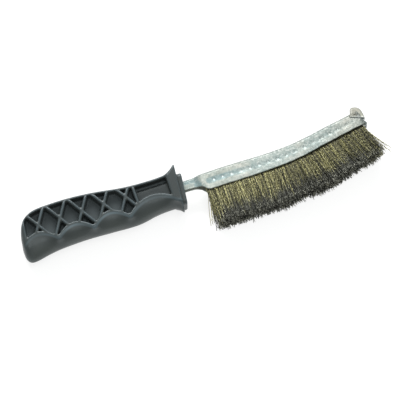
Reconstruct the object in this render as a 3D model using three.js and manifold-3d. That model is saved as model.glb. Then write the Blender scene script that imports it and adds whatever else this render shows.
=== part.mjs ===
// Channel-type wire scratch brush: a one-piece moulded handle, a galvanised steel strip that is
// its tang, its bristle channel and its end tab, a core wire, and bundles of crimped wire that are
// folded over the core wire inside the channel.
// Millimetres. +X runs from the handle to the end tab, +Y from the bristle tips to the back of the
// channel, +Z is the thickness, so the brush lies on its side.
import * as THREE from 'three';
import { mergeVertices } from 'three/addons/utils/BufferGeometryUtils.js';
import Module from 'manifold-3d';

const wasm = await Module();
wasm.setup();

// ---------------------------------------------------------------- driving dimensions
const CLEARANCE = 0.3; // gap between pieces that touch

const HANDLE_HALF = 9.75; // half the handle's thickness
const HANDLE_START = -116; // butt face
const GUARD_FACE = -3.2; // front face of the guard, at its upper tip
const GUARD_LEAN = 0.13; // how far the guard and collar lean back for each mm down
const GUARD_LEAN_START = -15;
const BUTT_LEAN = 0.14; // how far the butt leans out for each mm below its pivot
const BUTT_PIVOT = -6;
const BUTT_REACH = 18; // length over which the butt's lean fades out
const BUTT_ROUNDING = 3;
const SPINE_ROUNDING = 3;
const BUTT_STATIONS = 6;

// back edge of the handle, from the butt to the upper guard tip
const SPINE = [
  [-116, 3.2], [-114.6, 6.8], [-110.1, 11.0], [-103.3, 13.8], [-92.3, 14.7], [-75.5, 14.4],
  [-59, 12.6], [-42.8, 9.9], [-28.6, 8.7], [-12.7, 8.8], [-7.5, 10.6], [-3.2, 14.2],
];
// middle line of the finger side, from the butt to the lower guard tip
const KEEL = [
  [-116, -13.4], [-114.8, -16.6], [-111.5, -18.6], [-107.8, -18.6], [-100.6, -16.9], [-91.2, -15.6],
  [-73, -15.0], [-57.1, -15.8], [-37.6, -16.6], [-23.2, -14.2], [-10.5, -13.9], [-6.5, -16.0], [-3.2, -18.8],
];
// ridges between the four finger grooves, on the flat sides of the handle
const RIDGES = [
  [-116, -10.8], [-91.6, -12.6], [-67.2, -13.3], [-42.6, -13.8], [-8.8, -12.1], [-3.2, -13.4],
];
const GROOVE_DEPTHS = [6.6, 6.7, 7.2, 7.6];
const ARCH_FULLNESS = 0.85; // power of the sine that shapes each arch
const GROOVE_MEAN = 4.2; // the even depth that the grooves fade to on the finger side
const EVEN_SHARE = 0.35; // share of the half width inside which the finger side is even
const GROOVE_COUNT = 4;
const GROOVE_STATIONS = 9;
const SKIRT_SHARES = [1, 0.86, 0.7, 0.5, 0.25]; // of the half thickness, down the finger side

const POCKET_START = -111.6;
const POCKET_END = -11.4;
const POCKET_SPINE_WALL = 2.2;
const POCKET_GRIP_WALL = 2.4;
const POCKET_STEPS = 44;
const WEB_HALF = 2.6; // half the web that is left between the two pockets
const RIB = 2.3;
const LATTICE_PITCH = 15.2;
const LATTICE_COUNT = 5;
const LATTICE_START = -102;
const LATTICE_LEAN = THREE.MathUtils.degToRad(31);
const LATTICE_MIDDLE = 2; // height at which the ribs cross
const CROSS_RIB = -34.6;
const BOSS_HALF = 5.7; // tang housing between the pockets
const BOSS_START = -33.8;
const BOSS_TOP = 4.4;

const COLLAR_LENGTH = 3.6;
const COLLAR_TOP = 7.2;
const COLLAR_BOTTOM = -15.2;
const COLLAR_HALF = 7.6;
const COLLAR_ROUNDING = 2.2;
const COLLAR_EMBED = 2;

const SHEET = 0.9; // strip thickness
const TANG_START = -31;
const TANG_TOP = 2.7;
const TANG_HEIGHT = 6.9;
const TANG_HALF = 2.4;
const CHANNEL_START = 11.5;
const CHANNEL_END = 128.2;
const CHANNEL_HALF = 4.5;
// height of the strip's walls along it: the tang, the step down at its neck, then the channel
const STRIP_HEIGHTS = [
  [-32, 6.9], [1.5, 6.9], [9.5, 8.4], [13, 11.9], [17, 12.7],
  [35, 12.7], [60, 12.1], [90, 11.1], [112, 10.8], [129, 11.0],
];
const SWELL_START = 5.5; // where the tang begins to widen into the channel
const SWELL_STATIONS = [1, 3.5, SWELL_START, 7.5, 9.5, CHANNEL_START];
const END_ROUNDING = 3.2; // length over which the channel's end is rounded in
const END_NARROWING = 1.8;
const END_SHARES = [1, 0.6, 0.3, 0.1, 0]; // of that length still to go, where it has sections
// direction of the strip's back in degrees along it: straight, a slight dip, then the long arch
const BACK_SLOPE = [
  [-32, 0], [0, 0], [12, 2.4], [26, -0.5], [43, -1.5],
  [60, 0.2], [74, 4.7], [89, 9.6], [110, 9.6], [138, 10.6],
];
const WALL_SHARES = [0.38, 0.56, 0.74, 0.88, 1]; // of the wall's height, where its section has points
const SHOULDER_TANG = 2.2;
const SHOULDER_CHANNEL = 2.5;
const CRIMP_DEPTH = 0.2;
const CRIMP_HEIGHT = 0.56; // of the channel's height, below its back
const CRIMP_BAND = 0.26;
const CRIMP_END = 119;
const CRIMP_FADE = 4;
const DIMPLE_PITCH = 6.45;
const DIMPLE_FIRST = 18.8;
const DIMPLE_COUNT = 16;
const DIMPLE_DEPTH = 0.45;
const DIMPLE_FLATNESS = 1.25;
const END_WALL = 1.0;
const END_WALL_DEPTH = 10; // below the back
const EMBED = 0.7; // depth below the back at which the end wall and the tab start, inside the sheet
const TAB_HALF = 2.4; // half the tab's thickness
const TAB_START = 122.2; // where the tab leaves the strip's back
const TAB_LEAN = 0.31; // how far its rear edge leans forward for each mm up
const TAB_FRONT = 130.6;
const TAB_TOP = 15.9;
const TAB_REAR_ROUNDING = 1;
const TAB_FRONT_ROUNDING = 4.2;
const TAB_DROP = 7; // how far the tab's front reaches down the end wall, below the back
const TAB_CHIN = [129.4, 4.6];
const TAB_CHEEK = 8; // height at which the tab's front edge turns back to its chin
const CURL = [128.9, 0.8]; // middle of the curled lower edge of the end wall
const CURL_RADIUS = 1.6;
const CURL_HALF = 3.0;

const CORE_RADIUS = 1.5;
const CORE_OVERRUN = 0.5;
const CORE_DEPTH = 4.4; // core wire's middle, below the back of the channel
const BUNDLE_COUNT = 22;
const BUNDLE_GAP = 0.3;
const BRISTLE_START = 12.2;
const BRISTLE_END = 126.0;
// trim of the tips below the back of the channel, along the strip
const TRIM = [
  [12, 36.6], [22, 37.4], [38, 37.9], [50, 36.9], [60, 37.6], [66, 36.6], [72, 35.4], [79, 36.4],
  [90, 37.2], [99, 35.5], [108, 34.9], [118, 34.4], [127, 33.8],
];
const SADDLE_RADIUS = 3.0;
const BUNDLE_NECK = 2.1; // half width where the channel is crimped in
const NECK_DEPTH = 6.6;
const BUNDLE_MOUTH = 3.0; // half width where the wires leave the channel
const MOUTH_DEPTH = 12.4;
const BUNDLE_TIP_HALF = 9.5;

// ---------------------------------------------------------------- materials
const MATERIALS = {
  handle: { color: 0x3a4246, roughness: 0.42, metalness: 0.0 },
  strip: { color: 0xb9c3c0, roughness: 0.42, metalness: 0.9 },
  core: { color: 0x8a8d8a, roughness: 0.4, metalness: 0.9 },
  bristle: { color: 0x8b8150, roughness: 0.45, metalness: 0.8 },
};

// ---------------------------------------------------------------- helpers
function smoothstep(low, high, value) {
  const t = THREE.MathUtils.clamp((value - low) / (high - low), 0, 1);
  return t * t * (3 - 2 * t);
}

function bump(distance) {
  return distance < 1 ? (1 - distance * distance) ** 2 : 0;
}

// height of the smooth curve through points sorted by x
function curveAt(points, x) {
  const last = points.length - 1;
  let i = 0;
  while (i < last - 1 && x > points[i + 1][0]) i += 1;
  const slope = (k) => {
    const a = points[Math.max(k - 1, 0)];
    const b = points[Math.min(k + 1, last)];
    return (b[1] - a[1]) / (b[0] - a[0]);
  };
  const [x0, y0] = points[i];
  const [x1, y1] = points[i + 1];
  const width = x1 - x0;
  const t = (x - x0) / width;
  const rise = t * t * (3 - 2 * t);
  const start = t * (1 - t) * (1 - t) * width * slope(i);
  const end = t * t * (t - 1) * width * slope(i + 1);
  return y0 + (y1 - y0) * rise + start + end;
}

function toSolid(geometry) {
  const plain = geometry.index ? geometry.toNonIndexed() : geometry.clone();
  plain.deleteAttribute('normal');
  plain.deleteAttribute('uv');
  const merged = mergeVertices(plain, 1e-4);
  const vertProperties = new Float32Array(merged.attributes.position.array);
  const triVerts = new Uint32Array(merged.index.array);
  return new wasm.Manifold(new wasm.Mesh({ numProp: 3, vertProperties, triVerts }));
}

function toGeometry(solid) {
  const mesh = solid.getMesh();
  const geometry = new THREE.BufferGeometry();
  geometry.setAttribute('position', new THREE.BufferAttribute(new Float32Array(mesh.vertProperties), 3));
  geometry.setIndex(new THREE.BufferAttribute(new Uint32Array(mesh.triVerts), 1));
  geometry.computeVertexNormals();
  return geometry;
}

// triangles that fill a ring and turn the same way round as it does
function cap(ring) {
  const triangles = THREE.ShapeUtils.triangulateShape(ring, []);
  const turn = (points) => Math.sign(THREE.ShapeUtils.area(points));
  const same = turn(triangles[0].map((k) => ring[k])) === turn(ring);
  return same ? triangles : triangles.map(([a, b, c]) => [a, c, b]);
}

// closed skin through rings of points; the end rings are capped in their own (u, v) plane
function loft(rings, toPlane) {
  const size = rings[0].length;
  const positions = rings.flat().flatMap((p) => [p.x, p.y, p.z]);
  const index = [];
  for (let r = 0; r + 1 < rings.length; r += 1) {
    for (let k = 0; k < size; k += 1) {
      const next = (k + 1) % size;
      const a = r * size + k;
      const b = r * size + next;
      const c = a + size;
      const d = b + size;
      index.push(a, c, b, b, c, d);
    }
  }
  const lastRing = (rings.length - 1) * size;
  for (const [a, b, c] of cap(rings[0].map(toPlane))) index.push(a, b, c);
  for (const [a, b, c] of cap(rings.at(-1).map(toPlane))) {
    index.push(lastRing + a, lastRing + c, lastRing + b);
  }
  const geometry = new THREE.BufferGeometry();
  geometry.setAttribute('position', new THREE.Float32BufferAttribute(positions, 3));
  geometry.setIndex(index);
  return outward(geometry);
}

// turns a skin whose faces point in, so that they point out
function outward(geometry) {
  const p = geometry.attributes.position;
  const index = geometry.index.array;
  const corner = (k) => new THREE.Vector3().fromBufferAttribute(p, index[k]);
  let volume = 0;
  for (let k = 0; k < index.length; k += 3) {
    volume += corner(k).dot(corner(k + 1).cross(corner(k + 2)));
  }
  if (volume < 0) {
    for (let k = 0; k < index.length; k += 3) {
      [index[k], index[k + 1]] = [index[k + 1], index[k]];
    }
  }
  geometry.computeVertexNormals();
  return geometry;
}

function boxBetween([x0, y0, z0], [x1, y1, z1]) {
  const box = new THREE.BoxGeometry(x1 - x0, y1 - y0, z1 - z0);
  box.translate((x0 + x1) / 2, (y0 + y1) / 2, (z0 + z1) / 2);
  return box;
}

function piece(name, geometry, look) {
  const mesh = new THREE.Mesh(geometry, new THREE.MeshStandardMaterial(MATERIALS[look]));
  mesh.name = name;
  return mesh;
}

// ---------------------------------------------------------------- handle
// which pair of ridges x lies between
function spanAt(x) {
  let i = 0;
  while (i < RIDGES.length - 2 && x > RIDGES[i + 1][0]) i += 1;
  return i;
}

// lower edge of the handle's flat side: an arch over each finger, a ridge between two
function rimAt(x) {
  const i = spanAt(x);
  const [x0, y0] = RIDGES[i];
  const [x1, y1] = RIDGES[i + 1];
  const t = (x - x0) / (x1 - x0);
  const arch = i < GROOVE_COUNT ? GROOVE_DEPTHS[i] * Math.sin(Math.PI * t) ** ARCH_FULLNESS : 0;
  return y0 + (y1 - y0) * t + arch;
}

// the same edge without its arches, for the finger side's deeper part
function evenRimAt(x) {
  const i = spanAt(x);
  const [x0, y0] = RIDGES[i];
  const [x1, y1] = RIDGES[i + 1];
  return y0 + ((y1 - y0) * (x - x0)) / (x1 - x0) + GROOVE_MEAN;
}

// x of a point once the butt and the guard lean
function leaned(x, y) {
  const guard = GUARD_LEAN * smoothstep(GUARD_LEAN_START, GUARD_FACE, x);
  const butt = BUTT_LEAN * (1 - smoothstep(HANDLE_START, HANDLE_START + BUTT_REACH, x));
  return x + guard * (y - curveAt(SPINE, x)) + butt * (y - BUTT_PIVOT);
}

// half thickness, rounded off at the butt
function halfAt(x) {
  const inside = Math.min(x - HANDLE_START, BUTT_ROUNDING);
  const drop = BUTT_ROUNDING - inside;
  return HANDLE_HALF - BUTT_ROUNDING + Math.sqrt(BUTT_ROUNDING ** 2 - drop ** 2);
}

function handleStations() {
  const stations = [];
  for (let k = 0; k < BUTT_STATIONS; k += 1) {
    const turn = (Math.PI / 2) * (k / BUTT_STATIONS);
    stations.push(HANDLE_START + BUTT_ROUNDING * (1 - Math.cos(turn)));
  }
  for (let g = 0; g < GROOVE_COUNT; g += 1) {
    const from = g === 0 ? HANDLE_START + BUTT_ROUNDING : RIDGES[g][0];
    const to = RIDGES[g + 1][0];
    for (let k = 0; k < GROOVE_STATIONS; k += 1) stations.push(from + ((to - from) * k) / GROOVE_STATIONS);
  }
  for (let x = RIDGES[GROOVE_COUNT][0]; x < GUARD_FACE - 0.5; x += 1) stations.push(x);
  stations.push(GUARD_FACE);
  return stations;
}

// section: rounded back corners, flat sides, and a parabola under the fingers
function handleRing(x) {
  const half = halfAt(x);
  const top = curveAt(SPINE, x);
  const keel = curveAt(KEEL, x);
  const rim = rimAt(x);
  const r = SPINE_ROUNDING;
  const side = [];
  for (let k = 0; k <= 3; k += 1) {
    const turn = (Math.PI / 2) * (k / 3);
    side.push([half - r + r * Math.sin(turn), top - r + r * Math.cos(turn)]);
  }
  for (const share of SKIRT_SHARES) {
    const rimHere = evenRimAt(x) + (rim - evenRimAt(x)) * smoothstep(EVEN_SHARE, 1, share);
    side.push([half * share, keel + (rimHere - keel) * share * share]);
  }
  const left = side.map(([z, y]) => [-z, y]).reverse();
  const outline = [...side, [0, keel], ...left];
  return outline.map(([z, y]) => new THREE.Vector3(leaned(x, y), y, z));
}

function pocketShape() {
  const top = [];
  const bottom = [];
  for (let k = 0; k <= POCKET_STEPS; k += 1) {
    const x = POCKET_START + ((POCKET_END - POCKET_START) * k) / POCKET_STEPS;
    const [high, low] = [curveAt(SPINE, x) - POCKET_SPINE_WALL, rimAt(x) + POCKET_GRIP_WALL];
    top.push(new THREE.Vector2(leaned(x, high), high));
    bottom.push(new THREE.Vector2(leaned(x, low), low));
  }
  return new THREE.Shape([...bottom, ...top.reverse()]);
}

// the hollow on the upper side, less its lattice of ribs and the tang housing
function pocketSolid() {
  const depth = HANDLE_HALF - WEB_HALF + 1;
  const hollow = new THREE.ExtrudeGeometry(pocketShape(), { depth, bevelEnabled: false });
  hollow.translate(0, 0, WEB_HALF);
  let pocket = toSolid(hollow);
  const tall = HANDLE_HALF * 4;
  for (let k = 0; k < LATTICE_COUNT; k += 1) {
    for (const lean of [-LATTICE_LEAN, LATTICE_LEAN]) {
      const rib = new THREE.BoxGeometry(RIB, tall, tall);
      rib.rotateZ(lean);
      rib.translate(LATTICE_START + LATTICE_PITCH * k, LATTICE_MIDDLE, 0);
      pocket = pocket.subtract(toSolid(rib));
    }
  }
  const across = boxBetween([CROSS_RIB - RIB / 2, -tall, -tall], [CROSS_RIB + RIB / 2, tall, tall]);
  pocket = pocket.subtract(toSolid(across));
  const boss = boxBetween([BOSS_START, -tall, -BOSS_HALF], [0, BOSS_TOP, BOSS_HALF]);
  return pocket.subtract(toSolid(boss));
}

function collarSolid() {
  const r = COLLAR_ROUNDING;
  const shape = new THREE.Shape();
  const [low, high] = [COLLAR_BOTTOM, COLLAR_TOP];
  const w = COLLAR_HALF;
  shape.moveTo(low + r, -w);
  shape.lineTo(high - r, -w);
  shape.absarc(high - r, -w + r, r, -Math.PI / 2, 0);
  shape.lineTo(high, w - r);
  shape.absarc(high - r, w - r, r, 0, Math.PI / 2);
  shape.lineTo(low + r, w);
  shape.absarc(low + r, w - r, r, Math.PI / 2, Math.PI);
  shape.lineTo(low, -w + r);
  shape.absarc(low + r, -w + r, r, Math.PI, 1.5 * Math.PI);
  const depth = COLLAR_LENGTH + COLLAR_EMBED;
  const plate = new THREE.ExtrudeGeometry(shape, { depth, bevelEnabled: false, curveSegments: 4 });
  // shape x becomes the part's Y, shape y its Z, and the depth runs along X
  const axes = new THREE.Matrix4().makeBasis(
    new THREE.Vector3(0, 1, 0), new THREE.Vector3(0, 0, 1), new THREE.Vector3(1, 0, 0));
  plate.applyMatrix4(axes);
  plate.translate(GUARD_FACE - COLLAR_EMBED, -curveAt(SPINE, GUARD_FACE), 0);
  plate.applyMatrix4(new THREE.Matrix4().makeShear(0, 0, GUARD_LEAN, 0, 0, 0));
  plate.translate(0, curveAt(SPINE, GUARD_FACE), 0);
  return toSolid(plate);
}

function socketSolid() {
  const room = CLEARANCE;
  return toSolid(boxBetween(
    [TANG_START - room, TANG_TOP - TANG_HEIGHT - room, -TANG_HALF - room],
    [COLLAR_LENGTH, TANG_TOP + room, TANG_HALF + room]));
}

function makeHandle() {
  const rings = handleStations().map(handleRing);
  const skin = loft(rings, (p) => new THREE.Vector2(p.z, p.y));
  const pocket = pocketSolid();
  const solid = toSolid(skin)
    .add(collarSolid())
    .subtract(pocket)
    .subtract(pocket.mirror([0, 0, 1]))
    .subtract(socketSolid());
  return piece('handle', toGeometry(solid), 'handle');
}

// ---------------------------------------------------------------- the strip's centre line
function slopeAt(s) {
  return THREE.MathUtils.degToRad(curveAt(BACK_SLOPE, s));
}

const PATH_STEP = 0.5;
const PATH = [];
for (let s = TANG_START - 1, x = s, y = TANG_TOP; s < CHANNEL_END + 8; s += PATH_STEP) {
  PATH.push([x, y]);
  x += Math.cos(slopeAt(s)) * PATH_STEP;
  y += Math.sin(slopeAt(s)) * PATH_STEP;
}

// point at s along the strip's back, h above the back and z across
function place(s, h, z) {
  const t = (s - TANG_START + 1) / PATH_STEP;
  const i = Math.min(Math.floor(t), PATH.length - 2);
  const x = THREE.MathUtils.lerp(PATH[i][0], PATH[i + 1][0], t - i);
  const y = THREE.MathUtils.lerp(PATH[i][1], PATH[i + 1][1], t - i);
  const a = slopeAt(s);
  return new THREE.Vector3(x - h * Math.sin(a), y + h * Math.cos(a), z);
}

// ---------------------------------------------------------------- channel strip
// how far the side wall is pressed in at s along and h below the back
function pressedIn(s, h, height) {
  const band = (h / height - CRIMP_HEIGHT) / CRIMP_BAND;
  const rise = smoothstep(CHANNEL_START, CHANNEL_START + CRIMP_FADE, s);
  const fade = rise * (1 - smoothstep(CRIMP_END, CRIMP_END + CRIMP_FADE, s));
  const nearest = THREE.MathUtils.clamp(Math.round((s - DIMPLE_FIRST) / DIMPLE_PITCH), 0, DIMPLE_COUNT - 1);
  const along = (s - DIMPLE_FIRST - nearest * DIMPLE_PITCH) / (DIMPLE_PITCH / 2);
  const dimple = bump(Math.hypot(along, band * DIMPLE_FLATNESS));
  return fade * (CRIMP_DEPTH * bump(Math.abs(band)) + DIMPLE_DEPTH * dimple);
}

// half the strip's width: the tang swells into the channel, whose far end is rounded in
function halfWidthAt(s) {
  const turned = THREE.MathUtils.clamp(1 - (CHANNEL_END - s) / END_ROUNDING, 0, 1);
  const narrowing = END_NARROWING * (1 - Math.sqrt(1 - turned * turned));
  const grow = smoothstep(SWELL_START, CHANNEL_START, s);
  return THREE.MathUtils.lerp(TANG_HALF, CHANNEL_HALF, grow) - narrowing;
}

function stripRing(s) {
  const grow = smoothstep(SWELL_START, CHANNEL_START, s);
  const height = curveAt(STRIP_HEIGHTS, s);
  const half = halfWidthAt(s);
  const r = THREE.MathUtils.lerp(SHOULDER_TANG, SHOULDER_CHANNEL, grow);
  const outer = [[0, 0]];
  const inner = [[0, SHEET]];
  for (const share of [0, 0.5, 1]) {
    const turn = (Math.PI / 2) * share;
    const [ux, uy] = [Math.sin(turn), Math.cos(turn)];
    outer.push([half - r + r * ux, r - r * uy]);
    inner.push([half - r + (r - SHEET) * ux, r - (r - SHEET) * uy]);
  }
  for (const share of WALL_SHARES) {
    const h = height * share;
    const wall = half - pressedIn(s, h, height);
    outer.push([wall, h]);
    inner.push([wall - SHEET, h]);
  }
  const right = [...outer, ...inner.reverse()];
  const left = right.slice(1, -1).reverse().map(([z, h]) => [-z, h]);
  return [...right, ...left].map(([z, h]) => place(s, -h, z));
}

function stripStations() {
  const stations = [TANG_START, ...SWELL_STATIONS];
  const perDimple = 3;
  for (let k = 0; k < DIMPLE_COUNT * perDimple; k += 1) {
    stations.push(DIMPLE_FIRST + ((k - 1) * DIMPLE_PITCH) / perDimple);
  }
  for (const share of END_SHARES) stations.push(CHANNEL_END - END_ROUNDING * share);
  return stations;
}

// the strip's end is turned down to close the channel, and up as a rounded tab
function endWallSolid() {
  const rings = [CHANNEL_END - END_WALL, CHANNEL_END].map((s) => {
    const w = halfWidthAt(s) - SHEET / 2;
    const corners = [[w, EMBED], [w, END_WALL_DEPTH], [-w, END_WALL_DEPTH], [-w, EMBED]];
    return corners.map(([z, depth]) => place(s, -depth, z));
  });
  return toSolid(loft(rings, (p) => new THREE.Vector2(p.z, p.y)));
}

function tabSolid() {
  const rear = place(TAB_START, -EMBED, 0);
  const toe = place(CHANNEL_END - END_WALL / 2, -EMBED, 0);
  const chin = place(CHANNEL_END - END_WALL / 2, -TAB_DROP, 0);
  const rearTop = rear.x + TAB_LEAN * (TAB_TOP - rear.y);
  const [r, q] = [TAB_FRONT_ROUNDING, TAB_REAR_ROUNDING];
  const shape = new THREE.Shape();
  shape.moveTo(rear.x, rear.y);
  shape.lineTo(toe.x, toe.y);
  shape.lineTo(chin.x, chin.y);
  shape.lineTo(...TAB_CHIN);
  shape.lineTo(TAB_FRONT, TAB_CHEEK);
  shape.lineTo(TAB_FRONT, TAB_TOP - r);
  shape.absarc(TAB_FRONT - r, TAB_TOP - r, r, 0, Math.PI / 2);
  shape.lineTo(rearTop + q, TAB_TOP);
  shape.absarc(rearTop + q, TAB_TOP - q, q, Math.PI / 2, Math.PI);
  const depth = TAB_HALF * 2;
  const tab = new THREE.ExtrudeGeometry(shape, { depth, bevelEnabled: false, curveSegments: 5 });
  tab.translate(0, 0, -TAB_HALF);
  return toSolid(tab);
}

function curlSolid() {
  const curl = new THREE.CylinderGeometry(CURL_RADIUS, CURL_RADIUS, 2 * CURL_HALF, 12);
  curl.rotateX(Math.PI / 2);
  curl.translate(...CURL, 0);
  return toSolid(curl);
}

function makeStrip() {
  const rings = stripStations().map(stripRing);
  const skin = loft(rings, (p) => new THREE.Vector2(p.z, p.y));
  const solid = toSolid(skin).add(endWallSolid()).add(tabSolid()).add(curlSolid());
  return piece('channel_strip', toGeometry(solid), 'strip');
}

// ---------------------------------------------------------------- core wire and bristles
function makeCoreWire() {
  const sides = 10;
  const stations = 18;
  const from = BRISTLE_START - CORE_OVERRUN;
  const to = CHANNEL_END - END_WALL - CORE_OVERRUN;
  const rings = [];
  for (let i = 0; i <= stations; i += 1) {
    const s = from + ((to - from) * i) / stations;
    const ring = [];
    for (let k = 0; k < sides; k += 1) {
      const turn = (2 * Math.PI * k) / sides;
      ring.push(place(s, -CORE_DEPTH + CORE_RADIUS * Math.cos(turn), CORE_RADIUS * Math.sin(turn)));
    }
    rings.push(ring);
  }
  return piece('core_wire', loft(rings, (p) => new THREE.Vector2(p.z, p.y)), 'core');
}

// a bundle of wires folded over the core wire: a saddle with two legs that splay to the tips
function bundleGeometry(from, to) {
  const shape = new THREE.Shape();
  const hole = new THREE.Path();
  hole.absarc(0, -CORE_DEPTH, CORE_RADIUS + CLEARANCE, 0, 2 * Math.PI, true);
  shape.absarc(0, -CORE_DEPTH, SADDLE_RADIUS, 0, Math.PI);
  const tip = curveAt(TRIM, from);
  shape.lineTo(-BUNDLE_NECK, -NECK_DEPTH);
  shape.lineTo(-BUNDLE_MOUTH, -MOUTH_DEPTH);
  shape.lineTo(-BUNDLE_TIP_HALF, -tip);
  shape.lineTo(BUNDLE_TIP_HALF, -tip);
  shape.lineTo(BUNDLE_MOUTH, -MOUTH_DEPTH);
  shape.lineTo(BUNDLE_NECK, -NECK_DEPTH);
  shape.holes.push(hole);
  const depth = to - from;
  const block = new THREE.ExtrudeGeometry(shape, { depth, bevelEnabled: false, curveSegments: 8 });
  const p = block.attributes.position;
  for (let k = 0; k < p.count; k += 1) {
    const s = from + p.getZ(k);
    const h = p.getY(k) < -MOUTH_DEPTH - CLEARANCE ? -curveAt(TRIM, s) : p.getY(k);
    const at = place(s, h, p.getX(k));
    p.setXYZ(k, at.x, at.y, at.z);
  }
  const merged = toSolid(outward(mergePlain(block)));
  return toGeometry(merged);
}

function mergePlain(geometry) {
  geometry.deleteAttribute('normal');
  geometry.deleteAttribute('uv');
  return mergeVertices(geometry, 1e-4);
}

function makeBundles() {
  const pitch = (BRISTLE_END - BRISTLE_START) / BUNDLE_COUNT;
  const bundles = [];
  for (let k = 0; k < BUNDLE_COUNT; k += 1) {
    const from = BRISTLE_START + pitch * k;
    const geometry = bundleGeometry(from, from + pitch - BUNDLE_GAP);
    const number = String(k + 1).padStart(2, '0');
    bundles.push(piece(`bristle_bundle_${number}`, geometry, 'bristle'));
  }
  return bundles;
}

// ---------------------------------------------------------------- assembly
const brush = new THREE.Group();
brush.add(makeHandle(), makeStrip(), makeCoreWire(), ...makeBundles());

// origin: middle of the bounding box in X and Y, and the surface it lies on in Z
const bounds = new THREE.Box3().setFromObject(brush);
const middle = bounds.getCenter(new THREE.Vector3());
brush.position.set(-middle.x, -middle.y, -bounds.min.z);

export default brush;
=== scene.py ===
# Channel-type wire scratch brush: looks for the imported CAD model.
# Lengths are millimetres in the CAD's design frame until row() turns them into the row's metres.
import math

import bpy
import numpy as np
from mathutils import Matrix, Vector


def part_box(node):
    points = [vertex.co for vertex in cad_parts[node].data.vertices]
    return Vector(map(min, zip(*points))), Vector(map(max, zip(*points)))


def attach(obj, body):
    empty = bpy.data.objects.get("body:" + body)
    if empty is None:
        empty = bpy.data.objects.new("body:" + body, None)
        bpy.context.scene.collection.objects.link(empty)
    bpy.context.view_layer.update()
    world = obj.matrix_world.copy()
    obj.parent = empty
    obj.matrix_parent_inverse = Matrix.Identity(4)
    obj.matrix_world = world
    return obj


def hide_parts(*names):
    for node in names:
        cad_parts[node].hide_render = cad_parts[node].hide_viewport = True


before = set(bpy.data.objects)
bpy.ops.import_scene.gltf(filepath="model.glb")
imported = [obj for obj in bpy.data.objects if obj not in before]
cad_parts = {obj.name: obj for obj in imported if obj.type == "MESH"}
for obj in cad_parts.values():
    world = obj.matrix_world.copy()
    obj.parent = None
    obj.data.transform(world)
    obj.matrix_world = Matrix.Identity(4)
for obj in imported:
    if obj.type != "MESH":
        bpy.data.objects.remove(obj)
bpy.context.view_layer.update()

# ------------------------------------------------------------------ driving dimensions, as in CAD
HANDLE_HALF = 9.75
HANDLE_START = -116.0
GUARD_FACE = -3.2
GUARD_LEAN = 0.13
GUARD_LEAN_START = -15.0
BUTT_LEAN = 0.14
BUTT_REACH = 18.0
BUTT_LEAN_CENTRE = -6.0
SPINE = [
    (-116, 3.2), (-114.6, 6.8), (-110.1, 11.0), (-103.3, 13.8), (-92.3, 14.7), (-75.5, 14.4),
    (-59, 12.6), (-42.8, 9.9), (-28.6, 8.7), (-12.7, 8.8), (-7.5, 10.6), (-3.2, 14.2),
]
KEEL = [
    (-116, -13.4), (-114.8, -16.6), (-111.5, -18.6), (-107.8, -18.6), (-100.6, -16.9),
    (-91.2, -15.6), (-73, -15.0), (-57.1, -15.8), (-37.6, -16.6), (-23.2, -14.2),
    (-10.5, -13.9), (-6.5, -16.0), (-3.2, -18.8),
]
RIDGES = [(-116, -10.8), (-91.6, -12.6), (-67.2, -13.3), (-42.6, -13.8), (-8.8, -12.1), (-3.2, -13.4)]
GROOVE_DEPTHS = [6.6, 6.7, 7.2, 7.6]
ARCH_FULLNESS = 0.85
GROOVE_MEAN = 4.2
EVEN_SHARE = 0.35
POCKET_START = -111.6
POCKET_END = -11.4
POCKET_SPINE_WALL = 2.2
POCKET_GRIP_WALL = 2.4
WEB_HALF = 2.6
RIB = 2.3
LATTICE_PITCH = 15.2
LATTICE_COUNT = 5
LATTICE_START = -102.0
LATTICE_LEAN = math.radians(31)
LATTICE_MIDDLE = 2.0
CROSS_RIB = -34.6
BOSS_HALF = 5.7
BOSS_START = -33.8
BOSS_TOP = 4.4
COLLAR_LENGTH = 3.6
COLLAR_TOP = 7.2
COLLAR_BOTTOM = -15.2
COLLAR_HALF = 7.6
SOCKET_ROOM = 0.3

SHEET = 0.9
TANG_START = -31.0
TANG_TOP = 2.7
TANG_HEIGHT = 6.9
TANG_HALF = 2.4
SWELL_START = 5.5
CHANNEL_START = 11.5
CHANNEL_END = 128.2
STRIP_HEIGHTS = [
    (-32, 6.9), (1.5, 6.9), (9.5, 8.4), (13, 11.9), (17, 12.7),
    (35, 12.7), (60, 12.1), (90, 11.1), (112, 10.8), (129, 11.0),
]
CHANNEL_HALF = 4.5
END_ROUNDING = 3.2
END_NARROWING = 1.8
BACK_SLOPE = [
    (-32, 0), (0, 0), (12, 2.4), (26, -0.5), (43, -1.5),
    (60, 0.2), (74, 4.7), (89, 9.6), (110, 9.6), (138, 10.6),
]
SHOULDER_TANG = 2.2
SHOULDER_CHANNEL = 2.5
CRIMP_DEPTH = 0.2
CRIMP_HEIGHT = 0.56
CRIMP_BAND = 0.26
CRIMP_END = 119.0
CRIMP_FADE = 4.0
DIMPLE_PITCH = 6.45
DIMPLE_FIRST = 18.8
DIMPLE_COUNT = 16
DIMPLE_DEPTH = 0.45
DIMPLE_RADIUS = 1.6

CORE_DEPTH = 4.4
BUNDLE_COUNT = 22
BRISTLE_START = 12.2
BRISTLE_END = 126.0
TRIM = [
    (12, 36.6), (22, 37.4), (38, 37.9), (50, 36.9), (60, 37.6), (66, 36.6), (72, 35.4), (79, 36.4),
    (90, 37.2), (99, 35.5), (108, 34.9), (118, 34.4), (127, 33.8),
]

SEED = 41

# ------------------------------------------------------------------ small maths
def smoothstep(low, high, value):
    t = np.clip((value - low) / (high - low), 0, 1)
    return t * t * (3 - 2 * t)


def bump(distance):
    """A smooth hill: 1 at distance 0, down to 0 at distance 1 and beyond."""
    return np.where(distance < 1, (1 - np.minimum(distance, 1) ** 2) ** 2, 0)


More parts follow.
